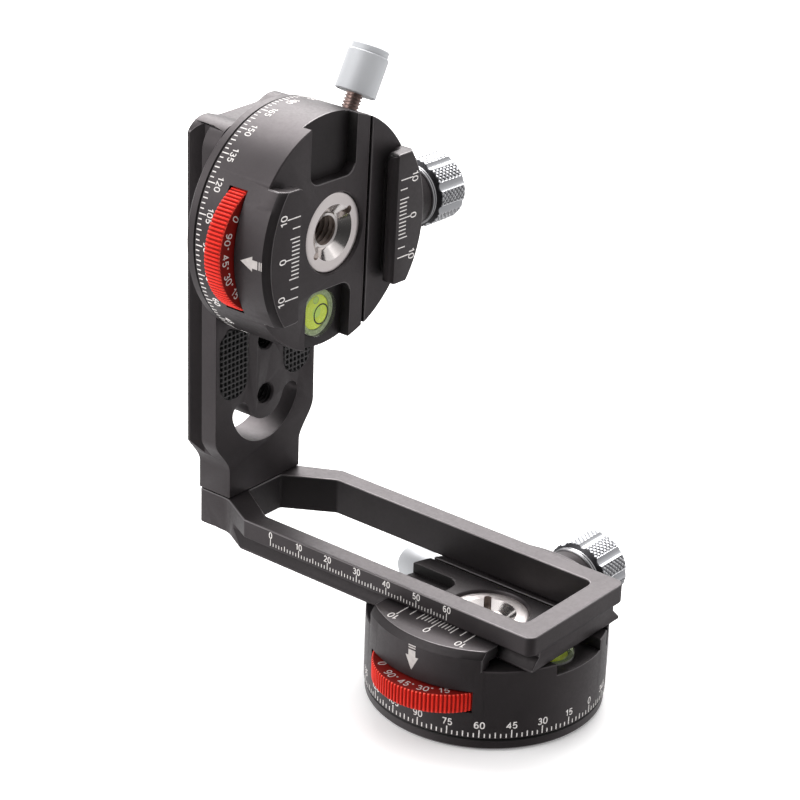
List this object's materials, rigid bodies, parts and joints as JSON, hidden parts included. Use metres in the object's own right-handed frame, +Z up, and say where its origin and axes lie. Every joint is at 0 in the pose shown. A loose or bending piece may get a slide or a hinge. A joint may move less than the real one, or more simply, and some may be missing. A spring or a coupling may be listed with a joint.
{
  "type": "panoramic tripod head",
  "caption": "Two-axis panoramic tripod head: indexing rotators with dovetail clamps, joined by a slotted horizontal arm and a vertical plate.",
  "frame": {"origin": "centre of the tripod thread at the bottom face of the lower base", "axes": "+Z up along the lower rotator's axis, +X from the vertical plate towards the arm's free end, +Y towards the clamp knobs"},
  "size_m": [0.1216, 0.0885, 0.1594],
  "materials": {
    "black_anodised": "satin",
    "steel": "satin",
    "stainless": "gloss",
    "silver_anodised": "satin",
    "knob_aluminium": "satin",
    "red_anodised": "satin",
    "brass": "satin",
    "nylon": "satin",
    "rubber": "matte",
    "level_plastic": "gloss",
    "clear": "gloss"
  },
  "bodies": {
    "lower_base": {"lower_base_disc": "black_anodised", "lower_detent_plate": "steel", "lower_spindle": "stainless", "lower_head_washer": "nylon", "lower_base_washer": "nylon"},
    "lower_rotor": {"lower_rotor_body": "black_anodised", "lower_bearing_bush": "brass", "lower_cover_plate": "steel", "lower_cover_screws": "steel", "lower_wheel_pivot": "steel", "lower_level_cup": "level_plastic", "lower_level_vial": "clear", "lower_clamp_nut": "steel", "lower_guide_pins": "steel", "lower_jaw_springs": "steel"},
    "lower_wheel": {"lower_index_wheel": "red_anodised", "lower_detent_plunger": "steel", "lower_detent_ball": "steel", "lower_detent_spring": "steel"},
    "lower_brake": {"lower_brake_pin": "nylon"},
    "lower_lock": {"lower_lock_stud": "stainless", "lower_lock_knob": "silver_anodised"},
    "lower_jaw": {"lower_moving_jaw": "black_anodised", "lower_clamp_collar": "silver_anodised"},
    "lower_clamp": {"lower_clamp_screw": "stainless", "lower_clamp_knob": "knob_aluminium"},
    "upper_rotor": {"upper_rotor_body": "black_anodised", "upper_bearing_bush": "brass", "upper_cover_plate": "steel", "upper_cover_screws": "steel", "upper_wheel_pivot": "steel", "upper_level_cup": "level_plastic", "upper_level_vial": "clear", "upper_clamp_nut": "steel", "upper_guide_pins": "steel", "upper_jaw_springs": "steel"},
    "upper_wheel": {"upper_index_wheel": "red_anodised", "upper_detent_plunger": "steel", "upper_detent_ball": "steel", "upper_detent_spring": "steel"},
    "upper_brake": {"upper_brake_pin": "nylon"},
    "upper_lock": {"upper_lock_stud": "stainless", "upper_lock_knob": "silver_anodised"},
    "upper_jaw": {"upper_moving_jaw": "black_anodised", "upper_clamp_collar": "silver_anodised"},
    "upper_clamp": {"upper_clamp_screw": "stainless", "upper_clamp_knob": "knob_aluminium"},
    "frame": {"horizontal_arm": "black_anodised", "vertical_plate": "black_anodised", "foot_screws": "stainless", "foot_dowels": "steel", "rubber_pads": "rubber", "mount_screw": "stainless", "mount_dowels": "steel", "upper_base_disc": "black_anodised", "upper_detent_plate": "steel", "upper_spindle": "stainless", "upper_head_washer": "nylon", "upper_base_washer": "nylon"}
  },
  "joints": [
    {"name": "lower_pan", "type": "hinge", "parent": "lower_base", "child": "lower_rotor", "pos_m": [0, 0, 0.012], "axis": [0, 0, 1], "continuous": true},
    {"name": "arm_slide", "type": "slide", "parent": "lower_rotor", "child": "frame", "axis": [1, 0, 0], "range_m": [-0.02, 0.04]},
    {"name": "lower_wheel_turn", "type": "hinge", "parent": "lower_rotor", "child": "lower_wheel", "pos_m": [0, -0.0189, 0.0139], "axis": [0, 0, 1], "range_deg": [-40, 40]},
    {"name": "lower_brake_slide", "type": "slide", "parent": "lower_rotor", "child": "lower_brake", "axis": [-0.887, 0.4617, 0], "range_m": [-0.000088, 0.000799]},
    {"name": "lower_lock_turn", "type": "hinge", "parent": "lower_brake", "child": "lower_lock", "pos_m": [-0.03548, 0.01847, 0.0142], "axis": [-0.887, 0.4617, 0], "range_deg": [-40, 360]},
    {"name": "lower_jaw_slide", "type": "slide", "parent": "lower_rotor", "child": "lower_jaw", "axis": [0, 1, 0], "range_m": [0, 0.0045], "deforming": ["lower_jaw_springs"]},
    {"name": "lower_clamp_turn", "type": "hinge", "parent": "lower_jaw", "child": "lower_clamp", "pos_m": [0, 0.044, 0.0173], "axis": [0, 1, 0], "range_deg": [0, 2026]},
    {"name": "upper_tilt", "type": "hinge", "parent": "frame", "child": "upper_rotor", "pos_m": [-0.0665, 0, 0.114], "axis": [1, 0, 0], "continuous": true},
    {"name": "upper_wheel_turn", "type": "hinge", "parent": "upper_rotor", "child": "upper_wheel", "pos_m": [-0.0646, -0.01889, 0.11449], "axis": [1, 0, 0], "range_deg": [-40, 40]},
    {"name": "upper_brake_slide", "type": "slide", "parent": "upper_rotor", "child": "upper_brake", "axis": [0, 0.4848, 0.8746], "range_m": [-0.000088, 0.000799]},
    {"name": "upper_lock_turn", "type": "hinge", "parent": "upper_brake", "child": "upper_lock", "pos_m": [-0.0643, 0.01939, 0.14899], "axis": [0, 0.4848, 0.8746], "range_deg": [-40, 360]},
    {"name": "upper_jaw_slide", "type": "slide", "parent": "upper_rotor", "child": "upper_jaw", "axis": [0, 0.9997, -0.0262], "range_m": [0, 0.0045], "deforming": ["upper_jaw_springs"]},
    {"name": "upper_clamp_turn", "type": "hinge", "parent": "upper_jaw", "child": "upper_clamp", "pos_m": [-0.0612, 0.04399, 0.11285], "axis": [0, 0.9997, -0.0262], "range_deg": [0, 2026]}
  ],
  "couplings": [
    {"joint": "lower_lock_turn", "follows": "lower_brake_slide", "rad_per_m": 7854},
    {"joint": "lower_clamp_turn", "follows": "lower_jaw_slide", "rad_per_m": 7854},
    {"joint": "upper_lock_turn", "follows": "upper_brake_slide", "rad_per_m": 7854},
    {"joint": "upper_clamp_turn", "follows": "upper_jaw_slide", "rad_per_m": 7854}
  ]
}
